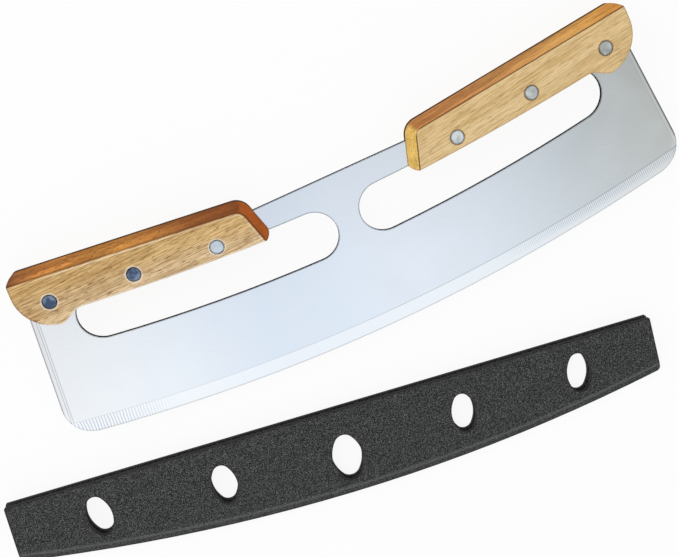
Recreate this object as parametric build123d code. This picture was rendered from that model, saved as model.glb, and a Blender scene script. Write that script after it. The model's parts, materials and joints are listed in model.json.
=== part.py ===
from build123d import *
import math
import os

# A two-handled rocking pizza knife with its edge guard taken off and lying beside it.
# Sizes are in millimetres and angles in degrees.
# The knife is drawn in its own plane: X along the blade, Y towards the handles, Z towards the front face.
# Its datum is the middle of the bridge's top edge, halfway through the steel.

# Blade
BLADE_THICKNESS = 2.0
BLADE_HEIGHT = 88.6
EDGE_RADIUS = 930.0
SIDE_HALF_WIDTH = 166.3
SIDE_RISE = 4.0
SIDE_FLARE = 10.5
CORNER_RADIUS = 16.0
BEVEL_WIDTH = 8.0
EDGE_LAND = 0.3
RIM_WIDTH = 3.0
RIM_DEPTH = 0.45

# Finger slots, curved about the same centre as the cutting edge
BRIDGE_DEPTH = 13.6
SLOT_WIDTH = 26.0
SLOT_INNER_X = 19.8
SLOT_SIDE_INSET = 32.3

# Handles, drawn along the top of the grip from its inner end outwards
HANDLE_X = 44.7
HANDLE_Y = 7.8
HANDLE_RISE = 6.6
HANDLE_LENGTH = 122.6
GRIP_DEPTH_INNER = 22.2
GRIP_DEPTH_OUTER = 24.7
GRIP_BOW = 1.0
HEEL_DEPTH = 30.3
HEEL_RADIUS = 19.8
HEEL_CORNER_RADIUS = 4.0
NECK_INSET = 28.4
NECK_RADIUS = 8.0
INNER_END_LEAN = 22.0
INNER_CORNER_RADIUS = 8.8
OUTER_CORNER_RADIUS = 5.5
LOW_CORNER_RADIUS = 3.0
SCALE_THICKNESS = 9.5
SIDE_LAND = 0.6
BAND_INSET = 3.7

# Rivets: a headed pin from the front, with a washer let into the rear scale
RIVET_INNER_INSET = 19.5
RIVET_OUTER_INSET = 16.8
RIVET_BELOW_TOP = 17.6
RIVET_NAMES = ("inner", "middle", "outer")
HEAD_RADIUS = 3.6
HEAD_THICKNESS = 1.8
HEAD_GAP = 0.2
PIN_RADIUS = 2.2
PIN_GAP = 0.05

# Edge guard
GUARD_HALF_LENGTH = 183.5
GUARD_DEPTH = 52.0
GUARD_WALL = 2.0
GUARD_FLOOR = 3.0
GUARD_SIDE_GAP = 0.25
GUARD_EDGE_GAP = 1.0
GUARD_END_FLARE = 4.0
GUARD_CORNER_RADIUS = 2.5
GUARD_MOUTH_RADIUS = 0.8
GUARD_RIM_WIDTH = 4.5
GUARD_RIM_DEPTH = 1.0
WINDOW_PITCH = 69.0
WINDOW_WIDTH = 13.8
WINDOW_HEIGHT = 24.0
WINDOW_DROP = 23.7
END_WINDOW_DROP = 20.2
MIDDLE_WINDOW_WIDTH = 17.0
MIDDLE_WINDOW_HEIGHT = 28.6
MIDDLE_WINDOW_DROP = 29.5
WINDOW_END_SHARE = 0.66

# The guard swings in the blade's plane about a far point, from beside the knife onto its edge, left end first
GUARD_SWING = 9.2
SWING_X = -517.0
SWING_Y = 221.0

# How far a cutter runs past what it cuts
OVERRUN = 2.0

HALF_BLADE = BLADE_THICKNESS / 2
EDGE_CENTRE_Y = EDGE_RADIUS - BLADE_HEIGHT
HALF_HANDLE = HALF_BLADE + SCALE_THICKNESS
HEAD_SEAT = HALF_HANDLE - HEAD_THICKNESS
HALF_CHANNEL = HALF_BLADE + GUARD_SIDE_GAP
HALF_GUARD = HALF_CHANNEL + GUARD_WALL
CHANNEL_RADIUS = EDGE_RADIUS + GUARD_EDGE_GAP
GUARD_RADIUS = CHANNEL_RADIUS + GUARD_FLOOR
GUARD_MOUTH_Y = EDGE_CENTRE_Y - GUARD_RADIUS + GUARD_DEPTH


def on_edge_circle(radius, x):
    """Point at a distance x from the middle, on a circle about the centre of the cutting edge."""
    return (x, EDGE_CENTRE_Y - math.sqrt(radius**2 - x**2))


def plate_outline(radius, half_width, flare, top):
    """Face with a level top, straight flared sides and a lower edge curved about the cutting edge's own."""
    low_x = half_width
    for _ in range(4):
        low_x = half_width + (top - on_edge_circle(radius, low_x)[1]) * math.tan(math.radians(flare))
    right = on_edge_circle(radius, low_x)
    left = (-right[0], right[1])
    arc = ThreePointArc(left, on_edge_circle(radius, 0), right)
    return make_face(Curve() + [arc, Polyline(right, (half_width, top), (-half_width, top), left)])


def rim_cutter(radius, width, depth, half_thickness, half_width):
    """Rings that bevel both faces of a plate towards an arc about the centre of the cutting edge."""
    inner = radius - width
    outer = radius + OVERRUN
    top = half_thickness + OVERRUN
    low = half_thickness - (outer - inner) * depth / width
    wedge = Polyline((inner, half_thickness), (outer, low), (outer, top), (inner, top), close=True)
    half = Plane.XZ * make_face(wedge)
    reach = math.degrees(math.asin((half_width + OVERRUN) / inner))
    ring = Pos(0, EDGE_CENTRE_Y) * Rot(Z=-90 - reach) * revolve(half, Axis.Z, 2 * reach)
    return ring + mirror(ring, Plane.XY)


def handle_outline():
    """Side view of a grip, with a heel at its outer end."""
    heel_x = HANDLE_LENGTH - HEEL_RADIUS
    heel_y = HEEL_RADIUS - HEEL_DEPTH
    swing = HEEL_RADIUS * math.sqrt(0.5)
    inner_top = (0, 0)
    inner_low = (-GRIP_DEPTH_INNER * math.tan(math.radians(INNER_END_LEAN)), -GRIP_DEPTH_INNER)
    neck = (HANDLE_LENGTH - NECK_INSET, -GRIP_DEPTH_OUTER)
    heel_low = (heel_x, -HEEL_DEPTH)
    outer_top = (HANDLE_LENGTH, 0)
    middle = ((inner_low[0] + neck[0]) / 2, (inner_low[1] + neck[1]) / 2 - GRIP_BOW)
    face = make_face(Curve() + [
        Line(inner_top, inner_low),
        ThreePointArc(inner_low, middle, neck),
        Line(neck, heel_low),
        ThreePointArc(heel_low, (heel_x + swing, heel_y - swing), (HANDLE_LENGTH, heel_y)),
        Polyline((HANDLE_LENGTH, heel_y), outer_top, inner_top),
    ])
    corners = {
        inner_top: INNER_CORNER_RADIUS,
        outer_top: OUTER_CORNER_RADIUS,
        inner_low: LOW_CORNER_RADIUS,
        neck: NECK_RADIUS,
        heel_low: HEEL_CORNER_RADIUS,
    }
    for point, radius in corners.items():
        face = fillet(face.vertices().sort_by_distance(Vector(*point))[0], radius)
    return face


def band_block():
    """Block whose sloping sides cut the bands along a scale's top and inner end."""
    reach = HANDLE_LENGTH
    slope = BAND_INSET / (SCALE_THICKNESS - SIDE_LAND)
    low_x = -reach * math.tan(math.radians(INNER_END_LEAN))
    face = make_face(Polyline((0, 0), (low_x, -reach), (2 * reach, -reach), (2 * reach, 0), close=True))
    face = fillet(face.vertices().sort_by_distance(Vector(0, 0))[0], INNER_CORNER_RADIUS)
    face = offset(face, (HALF_BLADE + SIDE_LAND) * slope, kind=Kind.INTERSECTION)
    return extrude(face, HALF_HANDLE + OVERRUN, taper=math.degrees(math.atan(slope)))


def to_side(shape, side):
    """Carry a shape from the grip's own drawing onto the right (1) or left (-1) end of the knife."""
    placed = Pos(HANDLE_X, HANDLE_Y) * Rot(Z=HANDLE_RISE) * shape
    return placed if side > 0 else mirror(placed, Plane.YZ)


def finger_slot(side):
    """Curved slot with round ends, beside the bridge."""
    middle_radius = EDGE_CENTRE_Y + BRIDGE_DEPTH + SLOT_WIDTH / 2
    outer_x = SIDE_HALF_WIDTH - SLOT_SIDE_INSET
    places = (SLOT_INNER_X, (SLOT_INNER_X + outer_x) / 2, outer_x)
    slot = SlotArc(ThreePointArc(*[on_edge_circle(middle_radius, x) for x in places]), SLOT_WIDTH)
    return slot if side > 0 else mirror(slot, Plane.YZ)


def rivet_places():
    """The three rivet centres of a grip, from its inner end outwards."""
    gaps = len(RIVET_NAMES) - 1
    pitch = (HANDLE_LENGTH - RIVET_INNER_INSET - RIVET_OUTER_INSET) / gaps
    return [(RIVET_INNER_INSET + i * pitch, -RIVET_BELOW_TOP) for i in range(gaps + 1)]


def disc(radius, bottom, top):
    """Upright cylinder between two heights."""
    return Pos(0, 0, bottom) * extrude(Circle(radius), top - bottom)


def make_blade():
    """Steel plate with tangs, finger slots, a bevelled rocking edge and thinned ends."""
    outline = plate_outline(EDGE_RADIUS, SIDE_HALF_WIDTH, SIDE_FLARE, SIDE_RISE)
    outline = fillet(outline.vertices().sort_by(Axis.Y)[:2], CORNER_RADIUS)
    outline -= Pos(0, SIDE_RISE / 2) * Rectangle(2 * (HANDLE_X + INNER_CORNER_RADIUS), SIDE_RISE)
    for side in (1, -1):
        outline += to_side(handle_outline(), side)
    plate = extrude(outline, HALF_BLADE, both=True)
    for layer in (-1, 0):
        face = plate.faces().sort_by(Axis.Z)[layer]
        lines = face.edges().filter_by(GeomType.LINE)
        ends = [e for e in lines if abs(e.center().X) > SIDE_HALF_WIDTH]
        ends = ShapeList(ends).sort_by(Axis.Y)[:2]
        plate = chamfer(ends, RIM_WIDTH, RIM_DEPTH, reference=face)
    bevel_depth = (BLADE_THICKNESS - EDGE_LAND) / 2
    widest = plate.bounding_box().max.X
    plate -= rim_cutter(EDGE_RADIUS, BEVEL_WIDTH, bevel_depth, HALF_BLADE, widest)
    hole = disc(PIN_RADIUS + PIN_GAP, -HALF_BLADE - OVERRUN, HALF_BLADE + OVERRUN)
    for side in (1, -1):
        plate -= extrude(finger_slot(side), HALF_BLADE + OVERRUN, both=True)
        plate -= [to_side(Pos(x, y) * hole, side) for x, y in rivet_places()]
    return plate


def make_scale(side):
    """Wooden half of a grip in front of the tang, with sloping bands and bores for its rivets."""
    body = Pos(0, 0, HALF_BLADE) * extrude(handle_outline(), SCALE_THICKNESS) & band_block()
    bore = disc(PIN_RADIUS + PIN_GAP, HALF_BLADE - OVERRUN, HALF_HANDLE)
    bore += disc(HEAD_RADIUS + HEAD_GAP, HEAD_SEAT, HALF_HANDLE + OVERRUN)
    body -= [Pos(x, y) * bore for x, y in rivet_places()]
    return to_side(body, side)


def make_rivet_pin():
    """Pin with a flush head in the front scale, closed over the washer in the rear one."""
    return disc(HEAD_RADIUS, HEAD_SEAT, HALF_HANDLE) + disc(PIN_RADIUS, -HALF_HANDLE, HEAD_SEAT)


def make_rivet_washer():
    """Washer under the closed end of a rivet's pin."""
    return disc(HEAD_RADIUS, -HALF_HANDLE, -HEAD_SEAT) - disc(PIN_RADIUS + PIN_GAP, -HALF_HANDLE, -HEAD_SEAT)


def window_outline(width, height):
    """Upright oval of four tangent arcs."""
    half_width = width / 2
    half_height = height / 2
    end_radius = half_width * WINDOW_END_SHARE
    end_y = half_height - end_radius
    side_radius = (half_width**2 + half_height**2 - 2 * half_height * end_radius) / (2 * (half_width - end_radius))
    side_x = side_radius - half_width
    scale = end_radius / (side_radius - end_radius)
    join_x = side_x * scale
    join_y = end_y * (1 + scale)
    return make_face(Curve() + [
        ThreePointArc((join_x, join_y), (0, half_height), (-join_x, join_y)),
        ThreePointArc((-join_x, join_y), (-half_width, 0), (-join_x, -join_y)),
        ThreePointArc((-join_x, -join_y), (0, -half_height), (join_x, -join_y)),
        ThreePointArc((join_x, -join_y), (half_width, 0), (join_x, join_y)),
    ])


def make_guard():
    """Open-ended channel over the cutting edge, with five oval windows, drawn where it sits on the blade."""
    outline = plate_outline(GUARD_RADIUS, GUARD_HALF_LENGTH, GUARD_END_FLARE, GUARD_MOUTH_Y)
    outline = fillet(outline.vertices().sort_by(Axis.Y)[:2], GUARD_CORNER_RADIUS)
    outline = fillet(outline.vertices().sort_by(Axis.Y)[-2:], GUARD_MOUTH_RADIUS)
    body = extrude(outline, HALF_GUARD, both=True)
    widest = body.bounding_box().max.X
    body -= rim_cutter(GUARD_RADIUS, GUARD_RIM_WIDTH, GUARD_RIM_DEPTH, HALF_GUARD, widest)
    channel = plate_outline(CHANNEL_RADIUS, widest + OVERRUN, 0, GUARD_MOUTH_Y + OVERRUN)
    body -= extrude(channel, HALF_CHANNEL, both=True)
    windows = [(0, MIDDLE_WINDOW_DROP, MIDDLE_WINDOW_WIDTH, MIDDLE_WINDOW_HEIGHT)]
    for side in (1, -1):
        windows.append((side * WINDOW_PITCH, WINDOW_DROP, WINDOW_WIDTH, WINDOW_HEIGHT))
        windows.append((2 * side * WINDOW_PITCH, END_WINDOW_DROP, WINDOW_WIDTH, WINDOW_HEIGHT))
    for x, drop, width, height in windows:
        window = extrude(window_outline(width, height), HALF_GUARD + OVERRUN, both=True)
        body -= Pos(x, GUARD_MOUTH_Y - drop) * window
    return body


def main():
    guard = make_guard()
    swing_centre = Pos(SWING_X, SWING_Y)
    guard = swing_centre * Rot(Z=-GUARD_SWING) * swing_centre.inverse() * guard
    parts = {"blade": make_blade(), "edge_guard": guard}
    pin = make_rivet_pin()
    washer = make_rivet_washer()
    for side, side_name in ((-1, "left"), (1, "right")):
        scale = make_scale(side)
        parts[side_name + "_front_scale"] = scale
        parts[side_name + "_rear_scale"] = mirror(scale, Plane.XY)
        for name, (x, y) in zip(RIVET_NAMES, rivet_places()):
            parts[side_name + "_" + name + "_rivet_pin"] = to_side(Pos(x, y) * pin, side)
            parts[side_name + "_" + name + "_rivet_washer"] = to_side(Pos(x, y) * washer, side)

    # The knife lies front up on the lower edges of its rear scales and on the far edge of the guard.
    scale_foot = parts["left_rear_scale"].faces().sort_by(Axis.Z)[0].bounding_box().min
    guard_foot = guard.faces().sort_by(Axis.Z)[0].bounding_box().min
    lean = math.degrees(math.atan2(guard_foot.Z - scale_foot.Z, scale_foot.Y - guard_foot.Y))
    for name in parts:
        parts[name] = Rot(X=lean) * parts[name]
    box = Compound(list(parts.values())).bounding_box()
    to_origin = Pos(-box.center().X, -box.center().Y, -box.min.Z)
    os.makedirs("parts", exist_ok=True)
    for name, shape in parts.items():
        export_step(to_origin * shape, "parts/" + name + ".step")


main()
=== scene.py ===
import bpy
import json
import math
from types import SimpleNamespace
from mathutils import Matrix, Vector

# The looks of a rocking pizza knife and its edge guard. Lengths are in metres, and colours are linear.

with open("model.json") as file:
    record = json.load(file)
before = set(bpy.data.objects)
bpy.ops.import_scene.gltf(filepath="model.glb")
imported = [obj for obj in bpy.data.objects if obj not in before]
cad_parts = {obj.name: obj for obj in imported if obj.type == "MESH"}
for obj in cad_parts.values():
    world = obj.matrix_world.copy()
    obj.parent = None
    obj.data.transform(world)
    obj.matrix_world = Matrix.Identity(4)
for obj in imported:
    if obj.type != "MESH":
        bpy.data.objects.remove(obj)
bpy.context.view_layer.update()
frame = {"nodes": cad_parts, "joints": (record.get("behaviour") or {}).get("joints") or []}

# The knife's own plane, as the solids are drawn: X along the blade, Y towards the handles, Z to the front
SWING_CENTRE = Vector((-0.517, 0.221, 0.0))
EDGE_CENTRE_Y = 0.8414
EDGE_RADIUS = 0.930
GUARD_RADIUS = 0.934
BEVEL_WIDTH = 0.008
SHOULDER_RADIUS = EDGE_RADIUS - BEVEL_WIDTH
BLADE_HALF_LENGTH = 0.177
SIDE_HALF_WIDTH = 0.1663
SIDE_RISE = 0.004
SIDE_FLARE = math.radians(10.5)
RIM_WIDTH = 0.003
HANDLE_PLACE = Vector((0.0447, 0.0078, 0.0))
HANDLE_RISE = math.radians(6.6)
HANDLE_LENGTH = 0.1226
INNER_END_LEAN = math.radians(22)
TANG_HALF = 0.0010

# How far a surface faces along an axis: where a wall ends and a flat face starts
WALL_TO_FLAT = (0.55, 0.75)
SLOPE_TO_FLAT = (0.45, 0.95)
NEARLY_FLAT = (0.90, 0.985)
TOWARDS_INNER_END = (0.25, 0.6)

# How closely the true and the rounded normal match on an edge and away from it
EDGE_MATCH = (0.90, 0.997)

# Middle part of a noise's values
NOISE_SPREAD = (0.3, 0.7)

# Sockets that a Mix node uses for colours
MIX_FACTOR = 0
MIX_A = 6
MIX_B = 7
MIX_RESULT = 2

# Steel of the blade
STEEL_TONES = ((0.79, 0.81, 0.835), (0.845, 0.86, 0.875))
# The ground bevel is a real facet, and its lighter tone is partly a painted highlight standing in for its
# brighter reflection
BEVEL_HIGHLIGHT_TONE = (0.93, 0.945, 0.96)
GRINDING_TONE = (0.34, 0.40, 0.50)
# Painted shade lines along the bevel's shoulder and the thinned sides
STEEL_CREASE_SHADE_TONE = (0.30, 0.33, 0.38)
GLINT_TONE = (1, 1, 1)
# Painted shade on the blade's edges
EDGE_SHADE_TONE = (0.03, 0.033, 0.036)
# Painted shade for the blade's cut walls
WALL_SHADE_TONE = (0.025, 0.026, 0.028)
TANG_WALL_SHADE_TONE = (0.060, 0.042, 0.030)
BRUSHED_FINENESS = (60, 1500, 1)
STEEL_CLOUD_FINENESS = 28.0
STEEL_ROUGHNESS = (0.22, 0.27)
BRUSHED_ROUGHNESS = 0.03
STEEL_RELIEF = SimpleNamespace(strength=0.009, distance=0.00002, radius=0.0003)
MIDDLE_FADE = 0.01
TANG_FADE = 0.001
SHOULDER_FADE = 0.0002
SHOULDER_LINE_WIDTH = 0.0012
SHOULDER_LINE_SHARE = 0.6
SHOULDER_LINE_CHANGE = (-0.10, 0.08)
SHOULDER_LINE_LEVELS = (0.30, 0.75)
SIDE_LINE_WIDTH = 0.0009
SIDE_LINE_SHARE = 0.55
SIDE_LINE_FADE = 0.0005
SIDE_LINE_INSETS = (RIM_WIDTH - 0.0004, RIM_WIDTH + 0.0008)
GLINT_INSET = 0.0017
GLINT_WIDTH = 0.0014
GLINT_SHARE = 0.9
EDGE_SHADE_WIDTH = 0.0012
SIDE_SHADE = (0.0003, 0.0010)
SIDE_SHADE_LEFT_SHARE = 0.50
SIDE_SHADE_RIGHT_EXTRA = 0.35
PALE_SIDE = (0.002, 0.010)
PALE_EDGE_LEVEL = 0.50

# Grinding marks across the bevel: their pace is in radians per metre of edge
MARK_PACE_LEFT = 3900.0
MARK_PACE_RIGHT = 5800.0
MARK_WANDER = 5.0
MARK_WANDER_FINENESS = 160.0
MARK_TEETH = (-0.5, 0.8)
MARK_SHARE = 0.34
LEFT_MARKS = (-BLADE_HALF_LENGTH + 0.01, -0.115)
LEFT_MARKS_LEVEL = 1.5
RIGHT_MARKS = (0.05, 0.120)
RIGHT_MARKS_DEPTHS = (SHOULDER_RADIUS + 0.002, EDGE_RADIUS - 0.001)
RIGHT_MARKS_LEVELS = (1.7, 0.10)

# Wood: how fine each noise is along the grip, across it and through it, per metre
GROWTH_FINENESS = (6, 105, 140)
STREAK_FINENESS = (40, 1150, 1150)
FIBRE_FINENESS = (110, 2300, 2300)
PORE_FINENESS = (180, 2600, 2600)
GRAIN_SHIFT = (-1.0, 0.7, 0.3)
GROWTH_SHARE = 0.32
STREAK_SHARE = 0.33
FIBRE_SHARE = 0.35
GRAIN_CONTRAST = (0.43, 0.57)
DARK_STREAKS = (0.30, 0.44)
STREAK_TONE = (0.30, 0.14, 0.040)
STREAK_DEPTH = 0.42
OPEN_PORES = (0.60, 0.65)
PORE_TONE = (0.15, 0.062, 0.020)
PORE_DEPTH = 0.80
FACE_DARKENING_TINT = (0.90, 0.81, 0.58)
FACE_DARKENING_DEPTHS = (0.016, 0.005)
FACE_DARKENING_END = (0.85, 0.97)
FACE_DARKENING_END_SHARE = 0.6
BAND_GROWTH = (0.40, 0.52)
BAND_GROWTH_TONE = (0.17, 0.052, 0.014)
BAND_GROWTH_DEPTH = 0.45
BAND_GRAIN = (0.36, 0.58)
BAND_GRAIN_TONE = (0.16, 0.050, 0.012)
BAND_GRAIN_DEPTH = 0.50
# Painted shade where the scales meet the steel tang
JOINT_SHADE_TONE = (0.10, 0.030, 0.010)
JOINT_SHADE = 0.0014
JOINT_SHADE_DEPTH = 0.75
INNER_FACE = (0.0001, 0.0003)
RIM_SHARE = 0.9
OUTER_RIM = (0.88, 0.95)
WALL_EDGE_SHADE_TONE = (0.12, 0.040, 0.012)
WALL_EDGE_SHADE_SHARE = 0.6
WOOD_ROUGHNESS = (0.60, 0.45)
WALL_ROUGHNESS = 0.35
WOOD_SPECULAR = 0.12
WOOD_RELIEF = SimpleNamespace(strength=0.30, distance=0.00010, radius=0.0003)
FIBRE_HEIGHT = 0.5
PORE_HEIGHT = 0.6
BORDER_FADE = 0.0002
BORDER_SHADE_TONE = (0.11, 0.035, 0.010)
DARK_LINE_SHIFT = -0.0003
DARK_LINE_WIDTH = 0.0015
BORDER_HIGHLIGHT_TONE = (0.97, 0.80, 0.56)
PALE_LINE_SHIFT = 0.0007
PALE_LINE_WIDTH = 0.0010
PALE_LINE_START = (0.20, 0.45)
PALE_LINE_START_LEVEL = 0.40
PALE_LINE_STOP = (0.80, 0.92)
PALE_LINE_STOP_LEVEL = 0.15

# Tones and proportions that differ between the grips; band_tones run from the inner end to the outer end.
# The band, inner end and rim tones are painted light and shade, set for how light falls on each grip.
LEFT_WOOD = SimpleNamespace(
    slope=math.radians(-9),
    figure=1.0,
    darkening=0.9,
    face_tones=((0.56, 0.37, 0.185), (0.85, 0.63, 0.37)),
    band_tones=((0.0, (0.27, 0.070, 0.018)), (0.25, (0.38, 0.130, 0.032)), (0.60, (0.86, 0.39, 0.085)),
                (0.88, (0.72, 0.28, 0.065)), (1.0, (0.20, 0.070, 0.035))),
    end_shading_tone=(0.62, 0.14, 0.020),
    rim_lighting_tone=(1.0, 0.90, 0.76),
    outer_rim_lighting_tone=(0.24, 0.11, 0.045),
    rim_width=0.0017,
    band_reach=0.0044,
    corner=0.005,
    dark_line_share=0.55,
    pale_line_share=0.75,
)
RIGHT_WOOD = SimpleNamespace(
    slope=math.radians(3),
    figure=0.5,
    darkening=0.2,
    face_tones=((0.66, 0.45, 0.20), (0.83, 0.61, 0.325)),
    band_tones=((0.0, (0.56, 0.23, 0.070)), (0.35, (0.70, 0.33, 0.110)), (0.70, (0.80, 0.42, 0.125)),
                (0.85, (0.76, 0.38, 0.095)), (1.0, (0.72, 0.31, 0.060))),
    end_shading_tone=(0.85, 0.56, 0.15),
    rim_lighting_tone=(0.42, 0.22, 0.080),
    outer_rim_lighting_tone=(0.42, 0.22, 0.080),
    rim_width=0.0012,
    band_reach=0.0041,
    corner=0.0015,
    dark_line_share=0.95,
    pale_line_share=0.25,
)

# Rivet heads: light and dark tone of each painted reflection; the heads are one steel, and these tones stand
# in for what each head reflects
DIM_REFLECTION_TONES = ((0.70, 0.74, 0.76), (0.50, 0.53, 0.56))
BRIGHT_REFLECTION_TONES = ((0.88, 0.88, 0.84), (0.58, 0.59, 0.57))
BLUE_REFLECTION_TONES = ((0.26, 0.33, 0.43), (0.07, 0.10, 0.17))
RIVET_RIM_SHADE_TONE = (0.012, 0.012, 0.014)
RIVET_RIM_WIDTH = 0.0014
SCRATCH_FINENESS = (900, 260, 1)
RIVET_CLOUD_FINENESS = 260.0
RIVET_CLOUDS = (0.35, 0.65)
RIVET_ROUGHNESS = (0.24, 0.36)
RIVET_RELIEF = SimpleNamespace(strength=0.10, distance=0.00002, radius=0.0005)

# Plastic of the guard
SPECKLE_FINENESS = 2900.0
GRIT_FINENESS = 3200.0
PATCH_FINENESS = 40.0
PLASTIC_TONES = ((0.002, 0.002, 0.0022), (0.182, 0.182, 0.181))
PLASTIC_CONTRAST = (0.51, 0.63)
PLASTIC_MEAN_TONE = (0.036, 0.036, 0.0365)
PLASTIC_MEAN_SHARE = 0.12
PLASTIC_SHADE_TONE = (0.003, 0.003, 0.003)
PLASTIC_EDGE_SHADE_WIDTH = 0.0015
PLASTIC_WALL_SHADE_SHARE = 0.92
PLASTIC_ROUGHNESS = (0.80, 0.60)
PLASTIC_SPECULAR = 0.3
PLASTIC_RELIEF = SimpleNamespace(strength=0.6, distance=0.00015, radius=0.0004)
SPECKLE_HEIGHT = 0.7
GRIT_HEIGHT = 0.3
FOOT_HIGHLIGHT_RADIUS = GUARD_RADIUS - 0.0042
FOOT_HIGHLIGHT_WIDTH = 0.0034
FOOT_HIGHLIGHT_SHARE = 0.30

# Camera
CAMERA_PLACE = Vector((0.0026, 0.1578, 0.4640))
CAMERA_TARGET = Vector((0.0132, 0.0257, 0.0))
PICTURE_UP_HEADING = math.radians(23.55)
SENSOR_WIDTH = 36.0
CAMERA_LENS = 47.72

# Floor
FLOOR_HALF = 3.0
FLOOR_GLOW = 0.90
FLOOR_TONE = (0.92, 0.92, 0.92)

# Studio: tones over a direction's x, from -0.5 at place 0 to 0.5 at place 1
WHITE = (1, 1, 1)
STUDIO_TONES = (
    (0.00, (0.84, 0.84, 0.85)),
    (0.20, (0.84, 0.84, 0.85)),
    (0.31, (0.90, 0.92, 0.92)),
    (0.38, (0.62, 0.70, 0.82)),
    (0.46, (0.51, 0.61, 0.74)),
    (0.52, (0.75, 0.81, 0.89)),
    (0.64, (0.77, 0.805, 0.86)),
    (0.71, (0.69, 0.755, 0.83)),
    (0.78, (0.45, 0.52, 0.58)),
    (0.88, (0.385, 0.365, 0.285)),
    (1.00, (0.47, 0.48, 0.47)),
)

# Studio: where its front, back and overhead parts start and end over a direction's y
FRONT_START = (-0.62, -0.44)
FRONT_TONE = (0.90, 0.93, 0.96)
BACK_START = (-0.08, 0.35)
BACK_TONE = (0.75, 0.75, 0.75)
OVERHEAD_START = (-0.34, -0.22)
OVERHEAD_LEVELS = (1.40, 0.98)

# Key light
KEY_PLACE = (-0.9, 1.0, 1.0)
KEY_SIZE = 0.9
KEY_POWER = 8.0


def knife_plane():
    """Matrix that carries the knife's own plane to where the knife lies."""
    joint = frame["joints"][0]
    lean = math.atan2(-joint["axis"][1], joint["axis"][2])
    turn = Matrix.Rotation(lean, 4, "X")
    return Matrix.Translation(joint["pos_m"]) @ turn @ Matrix.Translation(-SWING_CENTRE)


def guard_plane():
    """Matrix that carries the plane of a guard seated on the edge to where the guard lies, taken off."""
    turn = Matrix.Rotation(-math.radians(frame["joints"][0]["range_deg"][1]), 4, "Z")
    return KNIFE @ (Matrix.Translation(SWING_CENTRE) @ turn @ Matrix.Translation(-SWING_CENTRE))


def grip_plane(side):
    """Matrix that carries a grip's own plane, X along it from the inner end, to a side: 1 right, -1 left."""
    place = Matrix.Translation(HANDLE_PLACE) @ Matrix.Rotation(HANDLE_RISE, 4, "Z")
    turn = Matrix.Identity(4) if side > 0 else Matrix.Rotation(math.pi, 4, "Y")
    return KNIFE @ turn @ place


KNIFE = knife_plane()
GUARD = guard_plane()


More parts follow.
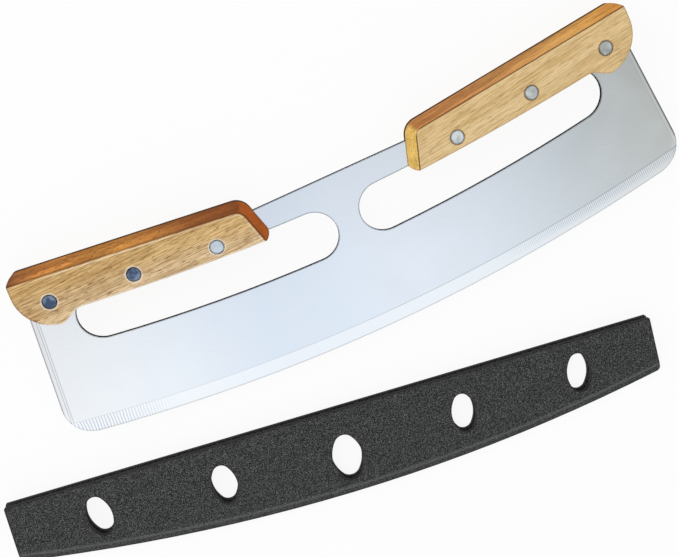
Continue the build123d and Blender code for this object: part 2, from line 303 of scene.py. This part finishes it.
class Nodes:
    """Short way to write a node tree: a call adds a node and most calls return its first output."""

    def __init__(self, tree):
        self.tree = tree
        self.tree.nodes.clear()

    def node(self, kind, inputs=(), **settings):
        made = self.tree.nodes.new(kind)
        for name, value in settings.items():
            setattr(made, name, value)
        for name, value in dict(inputs).items():
            self.put(made, name, value)
        return made

    def put(self, node, name, value):
        """Links or sets an input; a colour is given as three numbers."""
        socket = node.inputs[name]
        if isinstance(value, bpy.types.NodeSocket):
            self.tree.links.new(value, socket)
        elif socket.type == "RGBA":
            socket.default_value = (*value, 1)
        else:
            socket.default_value = value

    def math(self, operation, *values, clamp=False):
        made = self.node("ShaderNodeMath", operation=operation, use_clamp=clamp)
        for i, value in enumerate(values):
            self.put(made, i, value)
        return made.outputs[0]

    def product(self, *values):
        result = values[0]
        for value in values[1:]:
            result = self.math("MULTIPLY", result, value)
        return result

    def between(self, value, low, high, out_low=0.0, out_high=1.0):
        """Maps low..high smoothly to out_low..out_high."""
        inputs = {"Value": value, "From Min": low, "From Max": high, "To Min": out_low, "To Max": out_high}
        return self.node("ShaderNodeMapRange", inputs, interpolation_type="SMOOTHSTEP").outputs[0]

    def mix(self, factor, a, b, blend="MIX"):
        made = self.node("ShaderNodeMix", data_type="RGBA", blend_type=blend)
        self.put(made, MIX_FACTOR, factor)
        self.put(made, MIX_A, a)
        self.put(made, MIX_B, b)
        return made.outputs[MIX_RESULT]

    def ramp(self, value, stops):
        """Colours blended over places from 0 to 1; the stops are in order and include both ends."""
        made = self.node("ShaderNodeValToRGB", {"Fac": value})
        elements = made.color_ramp.elements
        for place, _ in stops[1:-1]:
            elements.new(place)
        for element, (_, colour) in zip(elements, stops):
            element.color = (*colour, 1)
        return made.outputs[0]

    def placed(self, plane, scale=(1, 1, 1)):
        """Coordinates in a plane of the object, stretched by a scale."""
        coords = self.node("ShaderNodeTexCoord").outputs["Object"]
        back = plane.inverted()
        turned = self.node("ShaderNodeMapping", {"Vector": coords, "Location": back.translation,
                                                 "Rotation": back.to_euler("XYZ")}).outputs[0]
        return self.node("ShaderNodeMapping", {"Vector": turned, "Scale": scale}).outputs[0]

    def noise(self, vector, scale=1.0, detail=2.0, roughness=0.5, distortion=0.0):
        inputs = {"Vector": vector, "Scale": scale, "Detail": detail, "Roughness": roughness,
                  "Distortion": distortion}
        return self.node("ShaderNodeTexNoise", inputs).outputs[0]

    def rounded(self, radius):
        """Normal that rounds the edges off."""
        return self.node("ShaderNodeBevel", {"Radius": radius}).outputs[0]

    def bump(self, height, relief):
        """Normal with a height's relief, on edges that the relief's radius rounds off."""
        inputs = {"Height": height, "Strength": relief.strength, "Distance": relief.distance,
                  "Normal": self.rounded(relief.radius)}
        return self.node("ShaderNodeBump", inputs).outputs[0]

    def dot(self, a, b):
        return self.node("ShaderNodeVectorMath", {0: a, 1: b}, operation="DOT_PRODUCT").outputs["Value"]

    def xyz(self, vector):
        return self.node("ShaderNodeSeparateXYZ", {"Vector": vector}).outputs

    def line(self, distance, centre, width):
        """1 where a distance is near a centre value, fading to 0 half a width away."""
        away = self.math("ABSOLUTE", self.math("SUBTRACT", distance, centre))
        return self.between(away, 0.0, width / 2, 1.0, 0.0)

    def edges(self, radius):
        """1 on a surface's outer edges, fading to 0 within a radius of them."""
        normal = self.node("ShaderNodeNewGeometry").outputs["Normal"]
        return self.between(self.dot(normal, self.rounded(radius)), *EDGE_MATCH, 1.0, 0.0)

    def facing(self, plane, axis):
        """How far the surface faces along an axis of a plane: 1 towards it, -1 away from it."""
        normal = self.node("ShaderNodeNewGeometry").outputs["Normal"]
        local = self.node("ShaderNodeVectorTransform", {"Vector": normal}, vector_type="NORMAL",
                          convert_from="WORLD", convert_to="OBJECT").outputs[0]
        return self.dot(local, plane.to_3x3() @ Vector(axis))

    def lying(self, plane):
        """How flat the surface lies in a plane, whichever way it faces: 1 in it, 0 square to it."""
        return self.math("ABSOLUTE", self.facing(plane, (0, 0, 1)))

    def surface(self, **inputs):
        """Principled surface, wired to the material's output."""
        named = {name.replace("_", " "): value for name, value in inputs.items()}
        shader = self.node("ShaderNodeBsdfPrincipled", named)
        self.node("ShaderNodeOutputMaterial", {"Surface": shader.outputs[0]})


def material(name):
    made = bpy.data.materials.new(name)
    made.use_nodes = True
    return made, Nodes(made.node_tree)


def edge_arc(n, plane):
    """Distance from the centre of the cutting edge's curve, and distance along that edge from the middle."""
    x, y, _ = n.xyz(n.placed(plane))
    down = n.math("SUBTRACT", EDGE_CENTRE_Y, y)
    radius = n.math("SQRT", n.math("ADD", n.product(x, x), n.product(down, down)))
    return radius, n.math("MULTIPLY", n.math("ARCTAN2", x, down), EDGE_RADIUS)


def side_inset(n):
    """How far a place on the blade lies inside its straight sides, and 1 on the left half of the blade."""
    x, y, _ = n.xyz(n.placed(KNIFE))
    slant = math.tan(SIDE_FLARE)
    reach = n.math("MULTIPLY_ADD", y, -slant, SIDE_HALF_WIDTH + SIDE_RISE * slant)
    inset = n.math("MULTIPLY", n.math("SUBTRACT", reach, n.math("ABSOLUTE", x)), math.cos(SIDE_FLARE))
    return inset, n.between(x, -MIDDLE_FADE, MIDDLE_FADE, 1.0, 0.0)


def grinding_marks(n, along, radius):
    """Fine marks across the bevel, strong at its two ends and fading towards the middle."""
    wander = n.noise(n.placed(KNIFE), MARK_WANDER_FINENESS)
    left = n.between(along, -2 * MIDDLE_FADE, 2 * MIDDLE_FADE, 1.0, 0.0)
    pace = n.math("MULTIPLY_ADD", left, MARK_PACE_LEFT - MARK_PACE_RIGHT, MARK_PACE_RIGHT)
    turns = n.math("ADD", n.product(along, pace), n.product(wander, MARK_WANDER))
    teeth = n.between(n.math("SINE", turns), *MARK_TEETH)
    left_end = n.between(along, *LEFT_MARKS, LEFT_MARKS_LEVEL, 0.0)
    right_end = n.between(along, *RIGHT_MARKS)
    near_shoulder = n.between(radius, *RIGHT_MARKS_DEPTHS, *RIGHT_MARKS_LEVELS)
    ends = n.math("ADD", left_end, n.product(right_end, near_shoulder))
    return n.product(teeth, ends)


def steel_face(n, cloudy, bevel):
    """Colour of the blade's faces, with painted shade lines along its bevel and sides, a painted glint on
    the right, and painted shade along its cut edges.
    """
    radius, along = edge_arc(n, KNIFE)
    marks = n.product(grinding_marks(n, along, radius), bevel)
    inset, left = side_inset(n)
    right = n.math("SUBTRACT", 1.0, left)
    level = n.between(along, *SHOULDER_LINE_CHANGE, *SHOULDER_LINE_LEVELS)
    # Painted shade: dark lines along the bevel's shoulder, stronger on the right, and on the left half along
    # the thinned sides
    shoulder_line = n.line(radius, SHOULDER_RADIUS, SHOULDER_LINE_WIDTH)
    shoulder_line = n.product(shoulder_line, level, SHOULDER_LINE_SHARE)
    side_lines = n.math("ADD", *[n.line(inset, place, SIDE_LINE_WIDTH) for place in SIDE_LINE_INSETS])
    line_end = SHOULDER_RADIUS + SIDE_LINE_FADE
    off_bevel = n.between(radius, SHOULDER_RADIUS, line_end, SIDE_LINE_SHARE, 0.0)
    side_lines = n.product(side_lines, left, off_bevel)
    face = n.mix(cloudy, *STEEL_TONES)
    face = n.mix(bevel, face, BEVEL_HIGHLIGHT_TONE)
    face = n.mix(n.product(marks, MARK_SHARE), face, GRINDING_TONE)
    face = n.mix(n.math("MAXIMUM", shoulder_line, side_lines), face, STEEL_CREASE_SHADE_TONE)
    # Painted glint: a white strip inside the right half's side stands in for a highlight
    glint = n.product(n.line(inset, GLINT_INSET, GLINT_WIDTH), right, GLINT_SHARE)
    face = n.mix(glint, face, GLINT_TONE)
    # Painted shade: the blade's edges are darkened, less so on the bevel and near the sides, and so is a
    # thin strip along each side, more on the right half
    side_shade = n.between(inset, *SIDE_SHADE, 1.0, 0.0)
    side_share = n.math("MULTIPLY_ADD", right, SIDE_SHADE_RIGHT_EXTRA, SIDE_SHADE_LEFT_SHARE)
    side_shade = n.product(side_shade, side_share)
    pale_rim = n.math("MAXIMUM", bevel, n.between(inset, *PALE_SIDE, 1.0, 0.0))
    edge_shade = n.product(n.edges(EDGE_SHADE_WIDTH), n.between(pale_rim, 0.0, 1.0, 1.0, PALE_EDGE_LEVEL))
    return n.mix(n.math("MAXIMUM", edge_shade, side_shade), face, EDGE_SHADE_TONE)


def steel_blade():
    """Satin ground sheet steel with a ground bevel whose lighter tone is partly a painted highlight, thinned
    sides, and cut walls painted dark as shade.
    """
    made, n = material("satin_steel")
    radius, _ = edge_arc(n, KNIFE)
    bevel = n.between(radius, SHOULDER_RADIUS - SHOULDER_FADE, SHOULDER_RADIUS + SHOULDER_FADE)
    brushed = n.noise(n.placed(KNIFE, BRUSHED_FINENESS), detail=3.0, roughness=0.6)
    cloudy = n.noise(n.placed(KNIFE), STEEL_CLOUD_FINENESS, detail=3.0, roughness=0.55)
    face = steel_face(n, cloudy, bevel)
    flat = n.between(n.lying(KNIFE), *WALL_TO_FLAT)
    # Painted shade: the cut walls are a near-black non-metal, brown-black along the tang, standing in for
    # their shade
    tang = n.between(n.xyz(n.placed(KNIFE))[1], SIDE_RISE, SIDE_RISE + TANG_FADE)
    wall = n.mix(tang, WALL_SHADE_TONE, TANG_WALL_SHADE_TONE)
    colour = n.mix(flat, wall, face)
    rough = n.between(cloudy, *NOISE_SPREAD, *STEEL_ROUGHNESS)
    rough = n.math("ADD", n.product(brushed, BRUSHED_ROUGHNESS), rough)
    normal = n.bump(brushed, STEEL_RELIEF)
    n.surface(Base_Color=colour, Metallic=flat, Roughness=rough, Specular_IOR_Level=0.0, Normal=normal)
    return made


def band_inset(n, along, up, corner):
    """How far a place on a grip lies inside its top and its leaning inner end, with their corner rounded."""
    across_end = n.product(along, math.cos(INNER_END_LEAN))
    inner = n.math("SUBTRACT", across_end, n.product(up, math.sin(INNER_END_LEAN)))
    return n.math("SMOOTH_MIN", inner, n.product(up, -1.0), corner)


def wood_noises(n, plane):
    """Slow growth, streaks and fibres along the grain's plane, and 1 in the pores."""
    growth = n.noise(n.placed(plane, GROWTH_FINENESS), detail=3.0, roughness=0.6, distortion=0.6)
    streaks = n.noise(n.placed(plane, STREAK_FINENESS), roughness=0.6, distortion=0.2)
    fibres = n.noise(n.placed(plane, FIBRE_FINENESS), roughness=0.6, distortion=0.1)
    pores = n.noise(n.placed(plane, PORE_FINENESS), detail=1.0)
    return growth, streaks, fibres, n.between(pores, *OPEN_PORES)


def wood_face(n, look, grain, streaks, share, up):
    """Colour of the sanded face, darker along the top and towards the outer end, much more on the left grip.
    """
    face = n.mix(n.between(grain, *GRAIN_CONTRAST), *look.face_tones)
    face = n.mix(n.between(streaks, *DARK_STREAKS, STREAK_DEPTH * look.figure, 0.0), face, STREAK_TONE)
    lowest, full = [-look.band_reach - depth for depth in FACE_DARKENING_DEPTHS]
    darker_top = n.between(up, lowest, full, 0.0, look.darkening)
    darker_end = n.between(share, *FACE_DARKENING_END, 0.0, FACE_DARKENING_END_SHARE * look.darkening)
    return n.mix(n.math("MAXIMUM", darker_top, darker_end), face, FACE_DARKENING_TINT, "MULTIPLY")


def wood_band(n, look, grip, grain, growth, share, above_tang):
    """Colour of the ground band, with painted light and shade along it, its end grain at the inner end
    painted dark on the left grip and bright on the right as light falls, and painted shade at the steel.
    """
    # Painted light and shade: the band's tones brighten and darken along each grip, differently for the two
    # grips
    band = n.ramp(share, look.band_tones)
    dark_growth = n.between(growth, *BAND_GROWTH, BAND_GROWTH_DEPTH * look.figure, 0.0)
    band = n.mix(dark_growth, band, BAND_GROWTH_TONE)
    # Painted shading: the inner end is dark on the left grip and bright on the right, as light falls on it
    band = n.mix(n.between(n.facing(grip, (-1, 0, 0)), *TOWARDS_INNER_END), band, look.end_shading_tone)
    band = n.mix(n.between(grain, *BAND_GRAIN, BAND_GRAIN_DEPTH, 0.0), band, BAND_GRAIN_TONE)
    # Painted shade: the band darkens next to the tang
    return n.mix(n.between(above_tang, 0.0, JOINT_SHADE, JOINT_SHADE_DEPTH, 0.0), band, JOINT_SHADE_TONE)


def border_lines(n, look, colour, inset, share, top):
    """Colour with a painted shade line and a painted highlight line where the band meets the face."""
    # Painted shade and painted highlight along the crease between band and face
    dark_line = n.line(inset, look.band_reach + DARK_LINE_SHIFT, DARK_LINE_WIDTH)
    colour = n.mix(n.product(dark_line, top, look.dark_line_share), colour, BORDER_SHADE_TONE)
    pale_line = n.line(inset, look.band_reach + PALE_LINE_SHIFT, PALE_LINE_WIDTH)
    pale_line = n.product(pale_line, top, look.pale_line_share)
    pale_line = n.product(pale_line, n.between(share, *PALE_LINE_START, PALE_LINE_START_LEVEL, 1.0))
    pale_line = n.product(pale_line, n.between(share, *PALE_LINE_STOP, 1.0, PALE_LINE_STOP_LEVEL))
    return n.mix(pale_line, colour, BORDER_HIGHLIGHT_TONE)


def wood(name, side, look, seed):
    """Oiled hardwood with its grain along the grip; the ground bands are darker and more orange than the
    sanded face, with painted light and shade along them.

    The seed moves the grain, so that no two scales share it.
    """
    made, n = material(name)
    grip = grip_plane(side)
    shift = Matrix.Translation([seed * share for share in GRAIN_SHIFT])
    growth, streaks, fibres, pore = wood_noises(n, grip @ shift @ Matrix.Rotation(look.slope, 4, "Z"))
    fine = n.math("ADD", n.product(streaks, STREAK_SHARE), n.product(fibres, FIBRE_SHARE))
    grain = n.math("ADD", n.product(growth, GROWTH_SHARE), fine)
    along, up, through = n.xyz(n.placed(grip))
    share = n.math("DIVIDE", along, HANDLE_LENGTH, clamp=True)
    above_tang = n.math("SUBTRACT", n.math("ABSOLUTE", through), TANG_HALF)
    lift = n.lying(grip)
    top = n.between(lift, *NEARLY_FLAT)
    inset = band_inset(n, along, up, look.corner)
    border = look.band_reach
    band_area = n.between(inset, border - BORDER_FADE, border + BORDER_FADE, 1.0, 0.0)
    face = wood_face(n, look, grain, streaks, share, up)
    band = wood_band(n, look, grip, grain, growth, share, above_tang)
    colour = n.mix(n.math("MAXIMUM", band_area, n.between(lift, *SLOPE_TO_FLAT, 1.0, 0.0)), face, band)
    colour = n.mix(n.product(pore, PORE_DEPTH * look.figure), colour, PORE_TONE)
    colour = border_lines(n, look, colour, inset, share, top)
    edge = n.edges(look.rim_width)
    bare_top = n.product(top, n.math("SUBTRACT", 1.0, band_area))
    # Painted highlight and shade on the face's edges: a pale rim on the left grip, and a dark rim on the
    # right grip and at the left grip's outer end
    rim = n.mix(n.between(share, *OUTER_RIM), look.rim_lighting_tone, look.outer_rim_lighting_tone)
    colour = n.mix(n.product(edge, bare_top, RIM_SHARE), colour, rim)
    # Painted shade: dark outlines along the edges of the sloping band and walls
    wall_edge_shade = n.product(edge, n.math("SUBTRACT", 1.0, top), WALL_EDGE_SHADE_SHARE)
    colour = n.mix(wall_edge_shade, colour, WALL_EDGE_SHADE_TONE)
    # Painted shade in the groove: the scales' inner faces beside the tang are darkened
    colour = n.mix(n.between(above_tang, *INNER_FACE, 1.0, 0.0), colour, JOINT_SHADE_TONE)
    rough = n.between(grain, *NOISE_SPREAD, *WOOD_ROUGHNESS)
    rough = n.math("ADD", rough, n.between(lift, *SLOPE_TO_FLAT, WALL_ROUGHNESS, 0.0))
    rough = n.math("MAXIMUM", rough, edge)
    height = n.math("SUBTRACT", n.product(fibres, FIBRE_HEIGHT), n.product(pore, PORE_HEIGHT))
    normal = n.bump(height, WOOD_RELIEF)
    n.surface(Base_Color=colour, Roughness=rough, Specular_IOR_Level=WOOD_SPECULAR, Normal=normal)
    return made


def rivet_steel(name, light, dark):
    """Ground flush rivet head with fine turning marks, tones painted as a reflection, and painted shade at
    its rim.
    """
    made, n = material(name)
    scratches = n.noise(n.placed(KNIFE, SCRATCH_FINENESS), detail=3.0, roughness=0.6)
    cloudy = n.noise(n.placed(KNIFE), RIVET_CLOUD_FINENESS)
    colour = n.mix(n.between(cloudy, *RIVET_CLOUDS), dark, light)
    # Painted shade: a near-black ring around the head's rim
    colour = n.mix(n.edges(RIVET_RIM_WIDTH), colour, RIVET_RIM_SHADE_TONE)
    rough = n.between(scratches, *NOISE_SPREAD, *RIVET_ROUGHNESS)
    normal = n.bump(scratches, RIVET_RELIEF)
    n.surface(Base_Color=colour, Metallic=1.0, Roughness=rough, Normal=normal)
    return made


def guard_plastic():
    """Charcoal moulded plastic with a fine eroded texture, a painted highlight beside its sloping foot, and
    painted shade on its walls and edges.
    """
    made, n = material("charcoal_plastic")
    speckle = n.noise(n.placed(GUARD), SPECKLE_FINENESS, roughness=0.7)
    grit = n.noise(n.placed(GUARD), GRIT_FINENESS, detail=1.0)
    patchy = n.noise(n.placed(GUARD), PATCH_FINENESS)
    radius, _ = edge_arc(n, GUARD)
    # Painted highlight: a paler strip beside the sloping foot, where the bend catches light
    foot = n.product(n.line(radius, FOOT_HIGHLIGHT_RADIUS, FOOT_HIGHLIGHT_WIDTH), FOOT_HIGHLIGHT_SHARE)
    bright = n.math("ADD", n.between(speckle, *PLASTIC_CONTRAST), foot, clamp=True)
    colour = n.mix(bright, *PLASTIC_TONES)
    colour = n.mix(n.product(patchy, PLASTIC_MEAN_SHARE), colour, PLASTIC_MEAN_TONE)
    # Painted shade: the walls, such as the windows' insides, and the edges are painted near black
    wall = n.between(n.lying(GUARD), *WALL_TO_FLAT, 1.0, 0.0)
    dark = n.math("MAXIMUM", n.edges(PLASTIC_EDGE_SHADE_WIDTH), n.product(wall, PLASTIC_WALL_SHADE_SHARE))
    colour = n.mix(dark, colour, PLASTIC_SHADE_TONE)
    rough = n.between(speckle, *NOISE_SPREAD, *PLASTIC_ROUGHNESS)
    height = n.math("ADD", n.product(speckle, SPECKLE_HEIGHT), n.product(grit, GRIT_HEIGHT))
    normal = n.bump(height, PLASTIC_RELIEF)
    n.surface(Base_Color=colour, Roughness=rough, Specular_IOR_Level=PLASTIC_SPECULAR, Normal=normal)
    return made


def dress(names, made):
    """Give CAD nodes a material in their own slots."""
    for name in names:
        for slot in frame["nodes"][name].material_slots:
            slot.material = made


def dress_all():
    """Give every node its material; the left grip's outer and middle rivet heads get a painted blue
    reflection.
    """
    dress(["blade"], steel_blade())
    dress(["left_front_scale"], wood("left_front_wood", -1, LEFT_WOOD, seed=0.31))
    dress(["left_rear_scale"], wood("left_rear_wood", -1, LEFT_WOOD, seed=0.87))
    dress(["right_front_scale"], wood("right_front_wood", 1, RIGHT_WOOD, seed=0.53))
    dress(["right_rear_scale"], wood("right_rear_wood", 1, RIGHT_WOOD, seed=1.19))
    rivets = [name for name in frame["nodes"] if "_rivet_" in name]
    left_rivets = [name for name in rivets if name.startswith("left")]
    right_rivets = [name for name in rivets if name.startswith("right")]
    dress(left_rivets, rivet_steel("rivet_dim_reflection", *DIM_REFLECTION_TONES))
    dress(right_rivets, rivet_steel("rivet_bright_reflection", *BRIGHT_REFLECTION_TONES))
    dress(["left_outer_rivet_pin", "left_middle_rivet_pin"], rivet_steel("rivet_blue_reflection", *BLUE_REFLECTION_TONES))
    dress(["edge_guard"], guard_plastic())


def make_camera():
    """Camera at the photograph's viewing angle."""
    data = bpy.data.cameras.new("camera")
    data.sensor_width = SENSOR_WIDTH
    data.lens = CAMERA_LENS
    camera = bpy.data.objects.new("camera", data)
    bpy.context.scene.collection.objects.link(camera)
    forward = (CAMERA_TARGET - CAMERA_PLACE).normalized()
    up_hint = Vector((math.sin(PICTURE_UP_HEADING), math.cos(PICTURE_UP_HEADING), 0))
    right = forward.cross(up_hint).normalized()
    turn = Matrix((right, right.cross(forward), -forward)).transposed()
    camera.matrix_world = Matrix.Translation(CAMERA_PLACE) @ turn.to_4x4()
    bpy.context.scene.camera = camera


def make_floor():
    """Plain pale floor, seen mostly as an even glow, that keeps a faint shadow of the object."""
    mesh = bpy.data.meshes.new("floor")
    signs = ((-1, -1), (1, -1), (1, 1), (-1, 1))
    mesh.from_pydata([(x * FLOOR_HALF, y * FLOOR_HALF, 0) for x, y in signs], [], [(0, 1, 2, 3)])
    floor = bpy.data.objects.new("floor", mesh)
    bpy.context.scene.collection.objects.link(floor)
    made, n = material("pale_floor")
    matt = n.node("ShaderNodeBsdfDiffuse", {"Color": FLOOR_TONE}).outputs[0]
    glow = n.node("ShaderNodeEmission", {"Color": WHITE, "Strength": 1.0}).outputs[0]
    path = n.node("ShaderNodeLightPath").outputs
    seen = n.math("MAXIMUM", path["Is Camera Ray"], path["Is Glossy Ray"])
    seen = n.math("MAXIMUM", seen, path["Is Transmission Ray"])
    mixed = n.node("ShaderNodeMixShader", {0: n.product(seen, FLOOR_GLOW), 1: matt, 2: glow}).outputs[0]
    n.node("ShaderNodeOutputMaterial", {"Surface": mixed})
    mesh.materials.append(made)


def make_world():
    """Soft studio: bright on the left, bluish overhead, greyer to the right, pale in front and behind.

    The camera sees plain white instead.
    """
    world = bpy.data.worlds.new("studio")
    bpy.context.scene.world = world
    world.use_nodes = True
    n = Nodes(world.node_tree)
    x, y, _ = n.xyz(n.node("ShaderNodeTexCoord").outputs["Generated"])
    tones = n.ramp(n.math("ADD", x, 0.5, clamp=True), STUDIO_TONES)
    front = n.between(y, *FRONT_START, 1.0, 0.0)
    back = n.between(y, *BACK_START)
    level = n.between(y, *OVERHEAD_START, *OVERHEAD_LEVELS)
    sky = n.node("ShaderNodeVectorMath", {0: tones, "Scale": level}, operation="SCALE").outputs[0]
    sky = n.mix(back, sky, BACK_TONE)
    sky = n.mix(front, sky, FRONT_TONE)
    studio = n.node("ShaderNodeBackground", {"Color": sky, "Strength": 1.0}).outputs[0]
    white = n.node("ShaderNodeBackground", {"Color": WHITE, "Strength": 1.0}).outputs[0]
    path = n.node("ShaderNodeLightPath").outputs
    mixed = n.node("ShaderNodeMixShader", {0: path["Is Camera Ray"], 1: studio, 2: white}).outputs[0]
    n.node("ShaderNodeOutputWorld", {"Surface": mixed})


def make_key_light():
    """Round soft lamp at the left behind the object, pointing at the frame's origin."""
    data = bpy.data.lights.new("key", "AREA")
    data.shape = "DISK"
    data.size = KEY_SIZE
    data.energy = KEY_POWER
    light = bpy.data.objects.new("key", data)
    bpy.context.scene.collection.objects.link(light)
    light.location = KEY_PLACE
    light.rotation_euler = (-Vector(KEY_PLACE)).to_track_quat("-Z", "Y").to_euler()


make_camera()
make_floor()
make_world()
make_key_light()
dress_all()
bpy.context.scene.view_settings.view_transform = "Standard"
